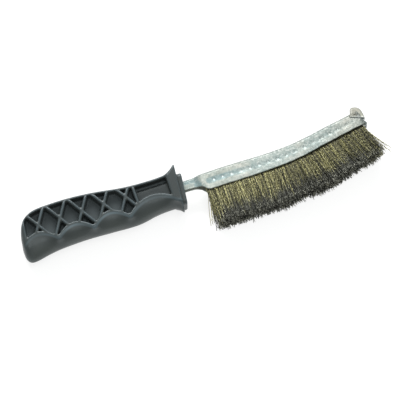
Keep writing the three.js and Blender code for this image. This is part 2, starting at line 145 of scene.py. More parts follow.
def blend_max(a, b, radius):
    """The overlap of two fields, with the edge between them rounded."""
    share = np.maximum(radius - np.abs(a - b), 0) / radius
    return np.maximum(a, b) + share * share * radius / 4


def blend_min(a, b, radius):
    """Two fields joined, with the corner between them filled."""
    return -blend_max(-a, -b, radius)


def curve_at(points, x):
    """Height of the smooth curve through points sorted by x."""
    table = np.array(points, float)
    xs, ys = table[:, 0], table[:, 1]
    slopes = np.empty(len(xs))
    slopes[1:-1] = (ys[2:] - ys[:-2]) / (xs[2:] - xs[:-2])
    slopes[0] = (ys[1] - ys[0]) / (xs[1] - xs[0])
    slopes[-1] = (ys[-1] - ys[-2]) / (xs[-1] - xs[-2])
    i = np.clip(np.searchsorted(xs, x) - 1, 0, len(xs) - 2)
    width = xs[i + 1] - xs[i]
    t = (x - xs[i]) / width
    rise = t * t * (3 - 2 * t)
    start = t * (1 - t) ** 2 * width * slopes[i]
    end = t * t * (t - 1) * width * slopes[i + 1]
    return ys[i] + (ys[i + 1] - ys[i]) * rise + start + end


# the design frame's place in the row: the end of the tang and the lowest point of the keel fix it
handle_low, handle_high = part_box("handle")
SHIFT = np.array([
    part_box("channel_strip")[0].x * 1000 - TANG_START,
    handle_low.y * 1000 - curve_at(KEEL, np.linspace(HANDLE_START, GUARD_FACE, 2000)).min(),
    (handle_low.z + handle_high.z) * 500,
])


def row(points):
    """Points of the design frame, in the row's metres."""
    return (np.asarray(points, float) + SHIFT) / 1000


def soft_noise(u, v, seed):
    """Smooth value noise between -1 and 1 with cells of size 1."""
    grid = np.random.default_rng(seed).uniform(-1, 1, (64, 64))
    i, j = np.floor(u).astype(int), np.floor(v).astype(int)
    a, b = u - i, v - j
    a, b = a * a * (3 - 2 * a), b * b * (3 - 2 * b)
    low = grid[i % 64, j % 64] * (1 - a) + grid[(i + 1) % 64, j % 64] * a
    high = grid[i % 64, (j + 1) % 64] * (1 - a) + grid[(i + 1) % 64, (j + 1) % 64] * a
    return low * (1 - b) + high * b


# ------------------------------------------------------------------ mesh helpers
def make_mesh(name, vertices, quads):
    """A mesh object from arrays of points in the row's metres and of four corners for each face."""
    mesh = bpy.data.meshes.new(name)
    mesh.vertices.add(len(vertices))
    mesh.vertices.foreach_set("co", np.asarray(vertices, np.float32).ravel())
    quads = np.asarray(quads, np.int32)
    mesh.loops.add(quads.size)
    mesh.loops.foreach_set("vertex_index", quads.ravel())
    mesh.polygons.add(len(quads))
    mesh.polygons.foreach_set("loop_start", np.arange(len(quads), dtype=np.int32) * 4)
    mesh.polygons.foreach_set("use_smooth", np.ones(len(quads), bool))
    mesh.update(calc_edges=True)
    mesh.validate()
    piece = bpy.data.objects.new(name, mesh)
    bpy.context.scene.collection.objects.link(piece)
    return piece


def surface_nets(field, low, step):
    """Closed skin of the region where field is below 0, as points and quads that face out."""
    inside = field < 0
    nx, ny, nz = field.shape
    total = np.zeros((nx - 1, ny - 1, nz - 1, 3))
    count = np.zeros((nx - 1, ny - 1, nz - 1))
    corners = [(i, j, k) for i in (0, 1) for j in (0, 1) for k in (0, 1)]

    def part(array, corner):
        i, j, k = corner
        return array[i:nx - 1 + i, j:ny - 1 + j, k:nz - 1 + k]

    for start in corners:
        for axis in range(3):
            if start[axis]:
                continue
            end = tuple(1 if a == axis else start[a] for a in range(3))
            f0, f1 = part(field, start), part(field, end)
            cut = part(inside, start) != part(inside, end)
            share = np.where(cut, f0 / np.where(cut, f0 - f1, 1), 0)
            for a in range(3):
                total[..., a] += cut * (start[a] + (share if a == axis else 0))
            count += cut
    active = count > 0
    number = np.full(active.shape, -1)
    number[active] = np.arange(active.sum())
    cell = np.argwhere(active)
    points = (cell + total[active] / count[active][:, None]) * step + np.array(low)

    quads = []
    for axis in range(3):
        b, c = (axis + 1) % 3, (axis + 2) % 3
        near = [slice(None)] * 3
        far = [slice(None)] * 3
        near[axis], far[axis] = slice(0, -1), slice(1, None)
        change = inside[tuple(near)] != inside[tuple(far)]
        leaving = inside[tuple(near)]
        at = np.argwhere(change)
        keep = (at[:, b] > 0) & (at[:, c] > 0)
        keep &= (at[:, b] < field.shape[b] - 1) & (at[:, c] < field.shape[c] - 1)
        at = at[keep]
        out = leaving[tuple(at.T)]
        ring = []
        for db, dc in ((-1, -1), (0, -1), (0, 0), (-1, 0)):
            spot = at.copy()
            spot[:, b] += db
            spot[:, c] += dc
            ring.append(number[tuple(spot.T)])
        ring = np.stack(ring, 1)
        ring[~out] = ring[~out][:, ::-1]
        quads.append(ring)
    return points, np.concatenate(quads)


def relax(points, quads, rounds):
    """Evens out the small steps of a surface_nets skin without shrinking it."""
    pairs = np.concatenate([quads[:, [k, (k + 1) % 4]] for k in range(4)])
    for _ in range(rounds):
        for share in (0.5, -0.52):
            total = np.zeros_like(points)
            count = np.zeros(len(points))
            for a, b in ((0, 1), (1, 0)):
                for axis in range(3):
                    total[:, axis] += np.bincount(pairs[:, a], points[pairs[:, b], axis], len(points))
                count += np.bincount(pairs[:, a], minlength=len(points))
            points = points + share * (total / count[:, None] - points)
    return points


def tube_rings(rings):
    """Quads of a closed tube grid: rings x sides, wrapped round the sides."""
    n, m = rings
    r, k = np.meshgrid(np.arange(n - 1), np.arange(m), indexing="ij")
    nxt = (k + 1) % m
    return np.stack([r * m + k, r * m + nxt, (r + 1) * m + nxt, (r + 1) * m + k], -1).reshape(-1, 4)


def number_attribute(piece, name, values):
    data = piece.data.attributes.new(name, "FLOAT", "POINT")
    data.data.foreach_set("value", np.asarray(values, np.float32).ravel())


# ------------------------------------------------------------------ material helpers
class Nodes:
    """A short way to write a node material."""

    def __init__(self, name):
        self.material = bpy.data.materials.new(name)
        self.material.use_nodes = True
        self.tree = self.material.node_tree
        self.shader = self.tree.nodes["Principled BSDF"]
        self.place = self.add("ShaderNodeTexCoord").outputs["Object"]

    def add(self, kind, **settings):
        node = self.tree.nodes.new(kind)
        for key, value in settings.items():
            setattr(node, key, value)
        return node

    def link(self, source, target):
        self.tree.links.new(source, target)

    def noise(self, scale, detail=3.0, roughness=0.55, stretch=None):
        node = self.add("ShaderNodeTexNoise")
        node.inputs["Scale"].default_value = scale
        node.inputs["Detail"].default_value = detail
        node.inputs["Roughness"].default_value = roughness
        self.link(self.stretched(stretch), node.inputs["Vector"])
        return node.outputs["Fac"]

    def stretched(self, stretch):
        if stretch is None:
            return self.place
        node = self.add("ShaderNodeMapping")
        node.inputs["Scale"].default_value = stretch
        self.link(self.place, node.inputs["Vector"])
        return node.outputs["Vector"]

    def cells(self, scale):
        node = self.add("ShaderNodeTexVoronoi")
        node.inputs["Scale"].default_value = scale
        self.link(self.place, node.inputs["Vector"])
        return node.outputs["Color"]

    def attribute(self, name):
        return self.add("ShaderNodeAttribute", attribute_name=name).outputs["Fac"]

    def ramp(self, source, stops):
        """Colours or greys at positions along a value."""
        node = self.add("ShaderNodeValToRGB")
        marks = node.color_ramp.elements
        while len(marks) < len(stops):
            marks.new(0.5)
        for mark, (position, colour) in zip(marks, stops):
            mark.position = position
            colour = (colour,) * 3 if isinstance(colour, (int, float)) else colour
            mark.color = (*colour, 1)
        self.link(source, node.inputs["Fac"])
        return node.outputs["Color"]

    def mix(self, share, a, b, mode="MIX"):
        node = self.add("ShaderNodeMix", data_type="RGBA", blend_type=mode)
        for socket, value in ((node.inputs[0], share), (node.inputs[6], a), (node.inputs[7], b)):
            if isinstance(value, bpy.types.NodeSocket):
                self.link(value, socket)
            elif isinstance(value, (int, float)):
                socket.default_value = value
            else:
                socket.default_value = (*value, 1)
        return node.outputs[2]

    def times(self, a, b):
        return self.mix(1.0, a, b, "MULTIPLY")

    def bump(self, height, strength, distance, below=None):
        node = self.add("ShaderNodeBump")
        node.inputs["Strength"].default_value = strength
        node.inputs["Distance"].default_value = distance
        self.link(height, node.inputs["Height"])
        if below is not None:
            self.link(below, node.inputs["Normal"])
        return node.outputs["Normal"]

    def finish(self, colour, roughness=None, normal=None, **constants):
        self.link(colour, self.shader.inputs["Base Color"])
        if roughness is not None:
            self.link(roughness, self.shader.inputs["Roughness"])
        if normal is not None:
            self.link(normal, self.shader.inputs["Normal"])
        for key, value in constants.items():
            self.shader.inputs[key.replace("_", " ")].default_value = value
        return self.material


# ------------------------------------------------------------------ materials
def plastic_material():
    """Dark blue-grey moulded plastic: faint flow marks, rubbed edges with a painted highlight, a painted
    highlight along the rim, painted light on the deep pocket floors and low on the finger side, painted shade
    beside the pocket's open end, fine skin texture.
    """
    n = Nodes("moulded_plastic")
    flow = n.noise(55, 4, 0.6, (0.5, 1.4, 1))
    flow = n.ramp(flow, [(0.3, (0.033, 0.038, 0.037)), (0.72, (0.047, 0.053, 0.051))])
    # rubbed edges with a painted bluish highlight: lighter on the rounded edges, broken up by noise
    worn = n.ramp(n.attribute("edge"), [(0.52, 0.0), (0.8, 1.0)])
    worn = n.times(worn, n.ramp(n.noise(240, 3), [(0.3, 0.35), (0.7, 1.0)]))
    colour = n.mix(worn, flow, (0.06, 0.08, 0.09))
    # painted light: the finger side lighter towards its lower edge
    painted_underside_light = n.ramp(n.attribute("painted_underside_light"), [(0.0, 0.0), (1.0, 0.35)])
    colour = n.mix(painted_underside_light, colour, (0.085, 0.094, 0.086))
    # painted highlight: a bluish band along the rim of the flat side, broken up by noise
    lip = n.ramp(n.attribute("lip"), [(0.1, 0.0), (1.0, 0.85)])
    lip = n.times(lip, n.ramp(n.noise(42, 2), [(0.35, 0.35), (0.62, 1.0)]))
    colour = n.mix(lip, colour, (0.095, 0.13, 0.148))
    # painted light: the deep pocket floors lighter
    deep = n.ramp(n.attribute("deep"), [(0.0, 0.0), (1.0, 0.8)])
    colour = n.mix(deep, colour, (0.075, 0.09, 0.095))
    # painted shade on the boss beside the pocket's open end
    painted_shelf_shade = n.ramp(n.attribute("painted_shelf_shade"), [(0.0, 0.0), (1.0, 0.7)])
    colour = n.mix(painted_shelf_shade, colour, (0.02, 0.023, 0.023))
    dust = n.ramp(n.noise(900, 2), [(0.66, 0.0), (0.8, 0.35)])
    colour = n.mix(dust, colour, (0.05, 0.055, 0.058))
    rough = n.ramp(n.noise(130, 4), [(0.3, 0.32), (0.75, 0.43)])
    rough = n.mix(n.mix(1.0, deep, painted_shelf_shade, "LIGHTEN"), rough, (0.8, 0.8, 0.8))
    skin = n.bump(n.noise(1500, 2), 0.12, 0.0002)
    sink = n.bump(n.noise(90, 2), 0.25, 0.0006, skin)
    return n.finish(colour, rough, sink, IOR=1.5, Specular_Tint=(0.82, 0.92, 0.96, 1.0),
                    Coat_Weight=0.06, Coat_Roughness=0.25)


def zinc_material():
    """Galvanised sheet: pale grey with a crystal mottle, blue and green tints and darker specks, with painted
    shade in the pressed groove, the fold and along the back, and painted glints in the dimples.
    """
    n = Nodes("galvanised_sheet")
    base = n.ramp(n.noise(70, 4, 0.6), [(0.3, (0.32, 0.36, 0.33)), (0.5, (0.47, 0.48, 0.43)),
                                        (0.72, (0.6, 0.59, 0.53))])
    crystal = n.ramp(n.cells(520), [(0.2, (0.32, 0.36, 0.36)), (0.8, (0.66, 0.64, 0.62))])
    spangle = n.mix(0.45, base, crystal, "OVERLAY")
    tint = n.ramp(n.noise(38, 3), [(0.4, 0.0), (0.62, 0.55)])
    colour = n.mix(tint, spangle, (0.3, 0.4, 0.4))
    worn = n.attribute("wear")
    # painted shade: a darker blue band where the groove is pressed and along the tang, strongest towards the
    # tang
    pressed = n.ramp(n.attribute("groove"), [(0.2, 0.0), (0.6, 0.85)])
    groove_shade_strength = n.ramp(worn, [(0.0, 1.0), (0.3, 0.4), (1.0, 0.25)])
    colour = n.mix(n.times(pressed, groove_shade_strength), colour, (0.23, 0.33, 0.34))
    colour = n.mix(n.ramp(worn, [(0.0, 0.0), (1.0, 0.2)]), colour, (0.2, 0.21, 0.19))
    shade = n.ramp(n.attribute("shade"), [(0.0, 0.0), (1.0, 0.62)])
    colour = n.mix(shade, colour, (0.12, 0.14, 0.13))
    dull = n.attribute("dull")
    calm = n.ramp(dull, [(0.0, 1.0), (1.0, 0.25)])
    dulled = n.ramp(dull, [(0.0, 0.0), (1.0, 0.75)])
    colour = n.mix(dulled, colour, (0.15, 0.145, 0.108))
    # painted shade along the fold under the tab and a painted dark reflection on the strip's turned end
    painted_crease_shade = n.ramp(n.attribute("crease"), [(0.1, 0.0), (0.8, 1.0)])
    colour = n.mix(painted_crease_shade, colour, (0.05, 0.07, 0.07))
    # painted glint in the dimples, weaker towards the worn end
    painted_dimple_glint = n.ramp(n.attribute("dimple"), [(0.45, 0.0), (0.85, 1.0)])
    painted_dimple_glint = n.times(painted_dimple_glint, n.ramp(worn, [(0.0, 0.85), (0.7, 0.12)]))
    colour = n.mix(painted_dimple_glint, colour, (0.75, 0.8, 0.8))
    specks = n.ramp(n.noise(900, 4, 0.75), [(0.52, 0.0), (0.64, 0.75)])
    specks = n.times(specks, n.ramp(worn, [(0.0, 0.4), (1.0, 1.0)]))
    colour = n.mix(n.times(specks, calm), colour, (0.11, 0.135, 0.125))
    bright = n.ramp(n.noise(640, 3, 0.7), [(0.5, 0.0), (0.64, 0.65)])
    bright = n.times(bright, n.ramp(worn, [(0.0, 0.4), (0.5, 0.9), (1.0, 0.65)]))
    colour = n.mix(n.times(bright, calm), colour, (0.78, 0.8, 0.76))
    rubbed = n.ramp(n.attribute("edge"), [(0.5, 0.0), (1.0, 0.7)])
    colour = n.mix(rubbed, colour, (0.86, 0.87, 0.85))
    rough = n.ramp(n.noise(260, 4), [(0.3, 0.38), (0.7, 0.6)])
    ripple = n.bump(n.noise(160, 4, 0.6), 0.35, 0.0006)
    grain = n.bump(n.noise(1100, 3), 0.2, 0.0002, ripple)
    return n.finish(colour, rough, grain, Metallic=0.35)


def wire_material():
    """Brass-coated steel wire: the colour of each wire and of its worn tip is in the mesh, with painted shade
    under the strip's lip and painted highlights on the crests, tips and cut ends.
    """
    n = Nodes("crimped_wire")
    tint = n.attribute("wire_tint")
    coat = n.ramp(tint, [(0.0, (0.03, 0.03, 0.024)), (0.3, (0.13, 0.127, 0.082)),
                         (0.62, (0.29, 0.272, 0.12)), (1.0, (0.6, 0.57, 0.29))])
    bare = n.ramp(tint, [(0.0, (0.04, 0.042, 0.039)), (0.5, (0.145, 0.147, 0.122)),
                         (1.0, (0.55, 0.55, 0.47))])
    coat = n.mix(n.attribute("wire_tip"), coat, bare)
    stain = n.ramp(n.noise(600, 2), [(0.35, 0.7), (0.65, 1.0)])
    return n.finish(n.times(coat, stain), Metallic=0.65, Roughness=0.38)


def core_material():
    """Drawn steel wire with draw marks along it."""
    n = Nodes("drawn_wire")
    colour = n.ramp(n.noise(300, 3, 0.6, (0.05, 1, 1)), [(0.3, (0.24, 0.24, 0.23)), (0.7, (0.42, 0.42, 0.4))])
    marks = n.bump(n.noise(2400, 2, 0.5, (0.04, 1, 1)), 0.2, 0.0001)
    return n.finish(colour, normal=marks, Metallic=0.9, Roughness=0.36)


def floor_material():
    """White paper that is lit from within a little, so that it stays white."""
    n = Nodes("paper_floor")
    colour = n.ramp(n.noise(3, 2), [(0.3, (0.36, 0.36, 0.36)), (0.7, (0.38, 0.38, 0.38))])
    n.shader.inputs["Emission Color"].default_value = (1, 1, 1, 1)
    return n.finish(colour, Roughness=0.9, Emission_Strength=0.77)


# ------------------------------------------------------------------ handle
HANDLE_STEP = 0.47
SPINE_ROUNDING = 4.5
NECK_ROUNDING = 2.0
BELLY_ROUNDING = 2.4
BUTT_ROUNDING = 5.5
GUARD_ROUNDING = 1.4
COLLAR_ROUNDING = 3.5
COLLAR_EDGE = 1.0
COLLAR_FILLET = 1.1
RIDGE_ROUNDING = 1.1
POCKET_CORNER = 2.0
POCKET_EDGE = 1.8
POCKET_SETBACK = 0.7  # makes up for what the rounded edge takes from the land beside the pocket
WEB_FILLET = 1.0
RIB_CROSSING = 1.2
RIB_FILLET = 0.8
BOSS_ROUNDING = 3.0
BOSS_END_ROUNDING = 2.0
BOSS_FILLET = 1.5
SOCKET_EDGE = 0.5


def rim_at(x):
    """Lower edge of the flat side: an arch over each finger, a ridge between two."""
    table = np.array(RIDGES)
    i = np.clip(np.searchsorted(table[:, 0], x) - 1, 0, len(table) - 2)
    x0, y0, x1, y1 = table[i, 0], table[i, 1], table[i + 1, 0], table[i + 1, 1]
    t = np.clip((x - x0) / (x1 - x0), 0, 1)
    depth = np.array(GROOVE_DEPTHS + [0.0])[i]
    arch = depth * np.sin(math.pi * t) ** ARCH_FULLNESS
    return y0 + (y1 - y0) * t + arch


def soft_rim(x):
    """The same edge with its ridges rounded off."""
    return (rim_at(x - RIDGE_ROUNDING) + rim_at(x) + rim_at(x + RIDGE_ROUNDING)) / 3


def slab(value, low, high):
    """Field of the layer between two values."""
    return np.maximum(low - value, value - high)


def handle_field(x_real, y, z):
    """Distance-like field of the whole moulding, below 0 in the plastic."""
    top_real = curve_at(SPINE, np.clip(x_real, HANDLE_START, GUARD_FACE))
    lean = GUARD_LEAN * smoothstep(GUARD_LEAN_START, GUARD_FACE, x_real)
    butt_lean = BUTT_LEAN * (1 - smoothstep(HANDLE_START, HANDLE_START + BUTT_REACH, x_real))
    x = x_real - lean * (y - top_real) - butt_lean * (y - BUTT_LEAN_CENTRE)
    inside_x = np.clip(x, HANDLE_START, GUARD_FACE)
    top = curve_at(SPINE, inside_x)
    keel = curve_at(KEEL, inside_x)
    rim = soft_rim(inside_x)
    across = np.abs(z) / HANDLE_HALF
    even = np.interp(inside_x, [x for x, _ in RIDGES], [y + GROOVE_MEAN for _, y in RIDGES])
    rim_here = even + (rim - even) * smoothstep(EVEN_SHARE, 1.0, across)
    deep = rim_here - keel
    belly_slope = 2 * deep * across / HANDLE_HALF
    belly = (keel + deep * across ** 2 - y) / np.sqrt(1 + belly_slope ** 2)
    side = np.abs(z) - HANDLE_HALF
    at_guard = smoothstep(GUARD_LEAN_START + 1, GUARD_FACE - 2.8, x_real)
    body = blend_max(y - top, side, SPINE_ROUNDING + (NECK_ROUNDING - SPINE_ROUNDING) * at_guard)
    body = blend_max(body, belly, BELLY_ROUNDING)
    body = blend_max(body, HANDLE_START - x, BUTT_ROUNDING)
    body = blend_max(body, x - GUARD_FACE, GUARD_ROUNDING)

    collar = blend_max(slab(y, COLLAR_BOTTOM, COLLAR_TOP), np.abs(z) - COLLAR_HALF, COLLAR_ROUNDING)
    collar = blend_max(collar, slab(x, GUARD_FACE - 2, GUARD_FACE + COLLAR_LENGTH), COLLAR_EDGE)
    body = blend_min(body, collar, COLLAR_FILLET)

    rim_slope = (soft_rim(inside_x + 0.2) - soft_rim(inside_x - 0.2)) / 0.4
    wall = (rim + POCKET_GRIP_WALL + POCKET_SETBACK - y) / np.sqrt(1 + np.minimum(rim_slope ** 2, 4))
    pocket = blend_max(wall, y - top + POCKET_SPINE_WALL, POCKET_CORNER)
    pocket = blend_max(pocket, slab(x, POCKET_START, POCKET_END), POCKET_EDGE)
    pocket = blend_max(pocket, WEB_HALF - np.abs(z), WEB_FILLET)
    ribs = np.abs(x_real - CROSS_RIB)
    for k in range(LATTICE_COUNT):
        for lean_angle in (-LATTICE_LEAN, LATTICE_LEAN):
            across_rib = (x_real - LATTICE_START - LATTICE_PITCH * k) * math.cos(lean_angle)
            across_rib = across_rib + (y - LATTICE_MIDDLE) * math.sin(lean_angle)
            ribs = blend_min(ribs, np.abs(across_rib), RIB_CROSSING)
    pocket = blend_max(pocket, RIB / 2 - ribs, RIB_FILLET)
    boss = blend_max(y - BOSS_TOP, BOSS_START - x_real, BOSS_END_ROUNDING)
    boss = blend_max(boss, np.abs(z) - BOSS_HALF, BOSS_ROUNDING)
    pocket = blend_max(pocket, -boss, BOSS_FILLET)
    body = blend_max(body, -pocket, POCKET_EDGE)

    socket = slab(x_real, TANG_START - SOCKET_ROOM, GUARD_FACE + 20)
    socket = np.maximum(socket, np.abs(z) - TANG_HALF - SOCKET_ROOM)
    socket = np.maximum(socket, slab(y, TANG_TOP - TANG_HEIGHT - SOCKET_ROOM, TANG_TOP + SOCKET_ROOM))
    return blend_max(body, -socket, SOCKET_EDGE)


def standing_out(points, quads, step):
    """How far each point stands out of its neighbours: 0 in a hollow, 0.5 on a flat, 1 on an edge."""
    pairs = np.concatenate([quads[:, [k, (k + 1) % 4]] for k in range(4)])
    total = np.zeros_like(points)
    count = np.bincount(pairs[:, 0], minlength=len(points)) + 1e-9
    for axis in range(3):
        total[:, axis] = np.bincount(pairs[:, 0], points[pairs[:, 1], axis], len(points))
    offset = points - total / count[:, None]
    a, b, c, d = (points[quads[:, k]] for k in range(4))
    face = np.cross(c - a, d - b)
    normal = np.zeros_like(points)
    for k in range(4):
        for axis in range(3):
            normal[:, axis] += np.bincount(quads[:, k], face[:, axis], len(points))
    normal /= np.linalg.norm(normal, axis=1, keepdims=True) + 1e-12
    return np.clip(0.5 + 3.2 * (offset * normal).sum(1) / step, 0, 1)


def make_handle(material):
    step = HANDLE_STEP
    low = np.array([HANDLE_START - 3.5, -21.0, -HANDLE_HALF - 1.2])
    high = np.array([GUARD_FACE + COLLAR_LENGTH + 1.5, 17.0, HANDLE_HALF + 1.2])
    axes = [np.arange(low[a], high[a], step) for a in range(3)]
    grid = np.meshgrid(*axes, indexing="ij")
    points, quads = surface_nets(handle_field(*grid), low, step)
    points = relax(points, quads, 3)
    piece = make_mesh("moulded_handle", row(points), quads)
    number_attribute(piece, "edge", standing_out(points, quads, step))

    # where the pocket floors, the sides of the tang's housing, the rim and the finger side are: painted light
    # on the deep pocket floors, painted shade on the housing beside the pocket's open end, a painted
    # highlight along the rim and painted light low on the finger side
    x, y, out = points[:, 0], points[:, 1], np.abs(points[:, 2])
    inside_x = np.clip(x, HANDLE_START, GUARD_FACE)
    rim = soft_rim(inside_x)
    in_pocket = y > rim_at(inside_x) + POCKET_GRIP_WALL * 0.5
    in_pocket &= y < curve_at(SPINE, inside_x) - POCKET_SPINE_WALL * 0.7
    sunk = (HANDLE_HALF - out) / (HANDLE_HALF - WEB_HALF)
    number_attribute(piece, "deep", smoothstep(0.7, 1.0, sunk) * in_pocket)
    on_boss = smoothstep(BOSS_HALF - 3.0, BOSS_HALF - 0.8, out)
    on_boss = on_boss * (1 - smoothstep(BOSS_HALF + 0.4, BOSS_HALF + 1.6, out))
    on_boss = on_boss * smoothstep(CROSS_RIB - 1, CROSS_RIB + 2, x)
    number_attribute(piece, "painted_shelf_shade", on_boss * in_pocket * (x < POCKET_END - 0.5))
    flat_side = smoothstep(HANDLE_HALF - 2.75, HANDLE_HALF - 0.75, out)
    number_attribute(piece, "lip", bump(np.abs(y - rim - 0.2) / 1.5) * flat_side)
    number_attribute(piece, "painted_underside_light", smoothstep(2.0, 9.0, rim - y))
    piece.data.materials.append(material)
    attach(piece, "root")
    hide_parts("handle")


# ------------------------------------------------------------------ the strip's centre line
PATH_STEP = 0.5
path_s = np.arange(TANG_START - 1, CHANNEL_END + 8, PATH_STEP)
path_angle = np.radians(curve_at(BACK_SLOPE, path_s))
path_x = path_s[0] + np.concatenate([[0], np.cumsum(np.cos(path_angle[:-1]) * PATH_STEP)])
path_y = TANG_TOP + np.concatenate([[0], np.cumsum(np.sin(path_angle[:-1]) * PATH_STEP)])


def place(s, h, z):
    """Points at s along the strip's back, h above the back and z across, in the design frame."""
    a = np.radians(curve_at(BACK_SLOPE, s))
    x = np.interp(s, path_s, path_x) - h * np.sin(a)
    y = np.interp(s, path_s, path_y) + h * np.cos(a)
    return np.stack(np.broadcast_arrays(x, y, z), -1)


# ------------------------------------------------------------------ channel strip
STRIP_STEP = 0.35
WAVES = [(0.16, 5.5, 7.3, 3), (0.1, 1.5, 3.1, 4)]  # size, length, place and seed of the lip's waves
BACK_POINTS, TURN_POINTS, WALL_POINTS = 4, 9, 30
CREASE_START = (121.1, 7.7)
CREASE_END = (129.0, 4.8)
TAB_START = (121.7, 9.3)
TAB_LEAN = 0.31
TAB_FRONT = 130.6
TAB_TOP = 15.9
TAB_STEP = 0.2
TAB_NECK_START = 123.0
TAB_HALF_LOW = 4.1
TAB_TAPER = 0.34
FOOT_X, FOOT_Y, FOOT_RADIUS = 128.6, 0.8, 1.9
FOOT_HALF = 3.0


def above_crease(x, y):
    """Height above the fold line from which the strip's end is pressed together into the tab."""
    dx, dy = CREASE_END[0] - CREASE_START[0], CREASE_END[1] - CREASE_START[1]
    return ((y - CREASE_START[1]) * dx - (x - CREASE_START[0]) * dy) / math.hypot(dx, dy)


def pressed_in(s, h, height):
    """Depth of the pressed band and its dimples at s, h, and how far each of the two is present."""
    band = (h / height - CRIMP_HEIGHT) / CRIMP_BAND
    fade = smoothstep(CHANNEL_START, CHANNEL_START + CRIMP_FADE, s)
    fade = fade * (1 - smoothstep(CRIMP_END, CRIMP_END + CRIMP_FADE, s))
    nearest = np.clip(np.round((s - DIMPLE_FIRST) / DIMPLE_PITCH), 0, DIMPLE_COUNT - 1)
    along = (s - DIMPLE_FIRST - nearest * DIMPLE_PITCH) / DIMPLE_RADIUS
    across = band * CRIMP_BAND * height / DIMPLE_RADIUS
    dimple = bump(np.hypot(along, across))
    groove = fade * bump(np.abs(band))
    return CRIMP_DEPTH * groove + DIMPLE_DEPTH * fade * dimple, groove, fade * dimple


def strip_side(s, hand):
    """Outer and inner z, h of half the section, from the middle of the back to the lip, at every
    station s, and how strongly the groove with its painted shade, the dimples and the painted shade along the
    back are present."""
    s = s[:, None]
    grow = smoothstep(SWELL_START, CHANNEL_START, s)
    height = curve_at(STRIP_HEIGHTS, s)
    for size, length, where, seed in WAVES:
        height = height + size * grow * soft_noise(s / length, hand * where + 0 * s, SEED + seed)
    turned = np.clip(1 - (CHANNEL_END - s) / END_ROUNDING, 0, 1)
    half = TANG_HALF + (CHANNEL_HALF - TANG_HALF) * grow - END_NARROWING * (1 - np.sqrt(1 - turned ** 2))
    r = SHOULDER_TANG + (SHOULDER_CHANNEL - SHOULDER_TANG) * grow
    back = np.linspace(0, 1, BACK_POINTS)[None, :-1]
    turn = np.linspace(0, math.pi / 2, TURN_POINTS)[None, :-1]
    wall = np.linspace(0, 1, WALL_POINTS)[None, :]
    z_out = np.concatenate([(half - r) * back, half - r + r * np.sin(turn), half + 0 * wall], 1)
    h_out = np.concatenate([0 * (r + back), r - r * np.cos(turn), r + (height - r) * wall], 1)
    q = r - SHEET
    z_in = np.concatenate([(half - r) * back, half - r + q * np.sin(turn), half - SHEET + 0 * wall], 1)
    h_in = np.concatenate([SHEET + 0 * (r + back), r - q * np.cos(turn), r + (height - r) * wall], 1)
    push, groove, dimple = pressed_in(s, h_out, height)
    low = h_out / height
    upright = smoothstep(0.15, 0.5, low)
    # painted shade, in the colour only: a darker middle band along the tang and a band where it flares into
    # the channel
    groove = groove + (1 - grow) * (1 - 0.7 * smoothstep(0.35, 0.6, low))
    groove = groove + 0.8 * bump(np.abs(s - 8.0) / 3.5) * smoothstep(0.4, 0.7, low)
    dent = 0.1 * grow * soft_noise(s / 4.0, h_out / 3.5 + hand * 11.0, SEED + 5)
    dent = dent + 0.05 * soft_noise(s / 1.3, h_out / 1.2 + hand * 5.0, SEED + 6)
    inward = (push + dent) * np.maximum(upright, 0.15)
    z_out = z_out - inward
    z_in = z_in - inward
    h_out = h_out + 0.07 * soft_noise(s / 6.0, z_out / 3.0, SEED + 8) * (1 - upright)
    shade = 1 - smoothstep(1.2, 3.2, h_out)
    return z_out, h_out, z_in, h_in, groove, dimple, shade


def fold_end(points):
    """Presses the strip's walls together above the crease, where the tab begins."""
    above = above_crease(points[..., 0], points[..., 1])
    near_end = smoothstep(CREASE_START[0] - 1.0, CREASE_START[0] + 0.5, points[..., 0])
    limit = TAB_HALF_LOW - 1.1 * bump(np.abs(above - 0.1) / 0.8) - TAB_TAPER * np.maximum(above, 0)
    limit = np.where(above > -0.7, limit, 99)
    size = np.abs(points[..., 2])
    held = np.minimum(size, limit)
    points[..., 2] = np.sign(points[..., 2]) * (size + (held - size) * near_end)
    return points


def end_caps(ring_count, sides, half_count):
    """Quads that close the sheet's thickness at both ends, from the outer line to the inner one."""
    caps = []
    for ring in (0, ring_count - 1):
        for hand in (1, -1):
            def index(k):
                return ring * sides + (hand * k) % sides
            for k in range((half_count - 1) // 2):
                quad = [index(k), index(k + 1), index(half_count - 2 - k), index(half_count - 1 - k)]
                caps.append(quad[::-1] if (hand == 1) == (ring == 0) else quad)
    return np.array(caps)


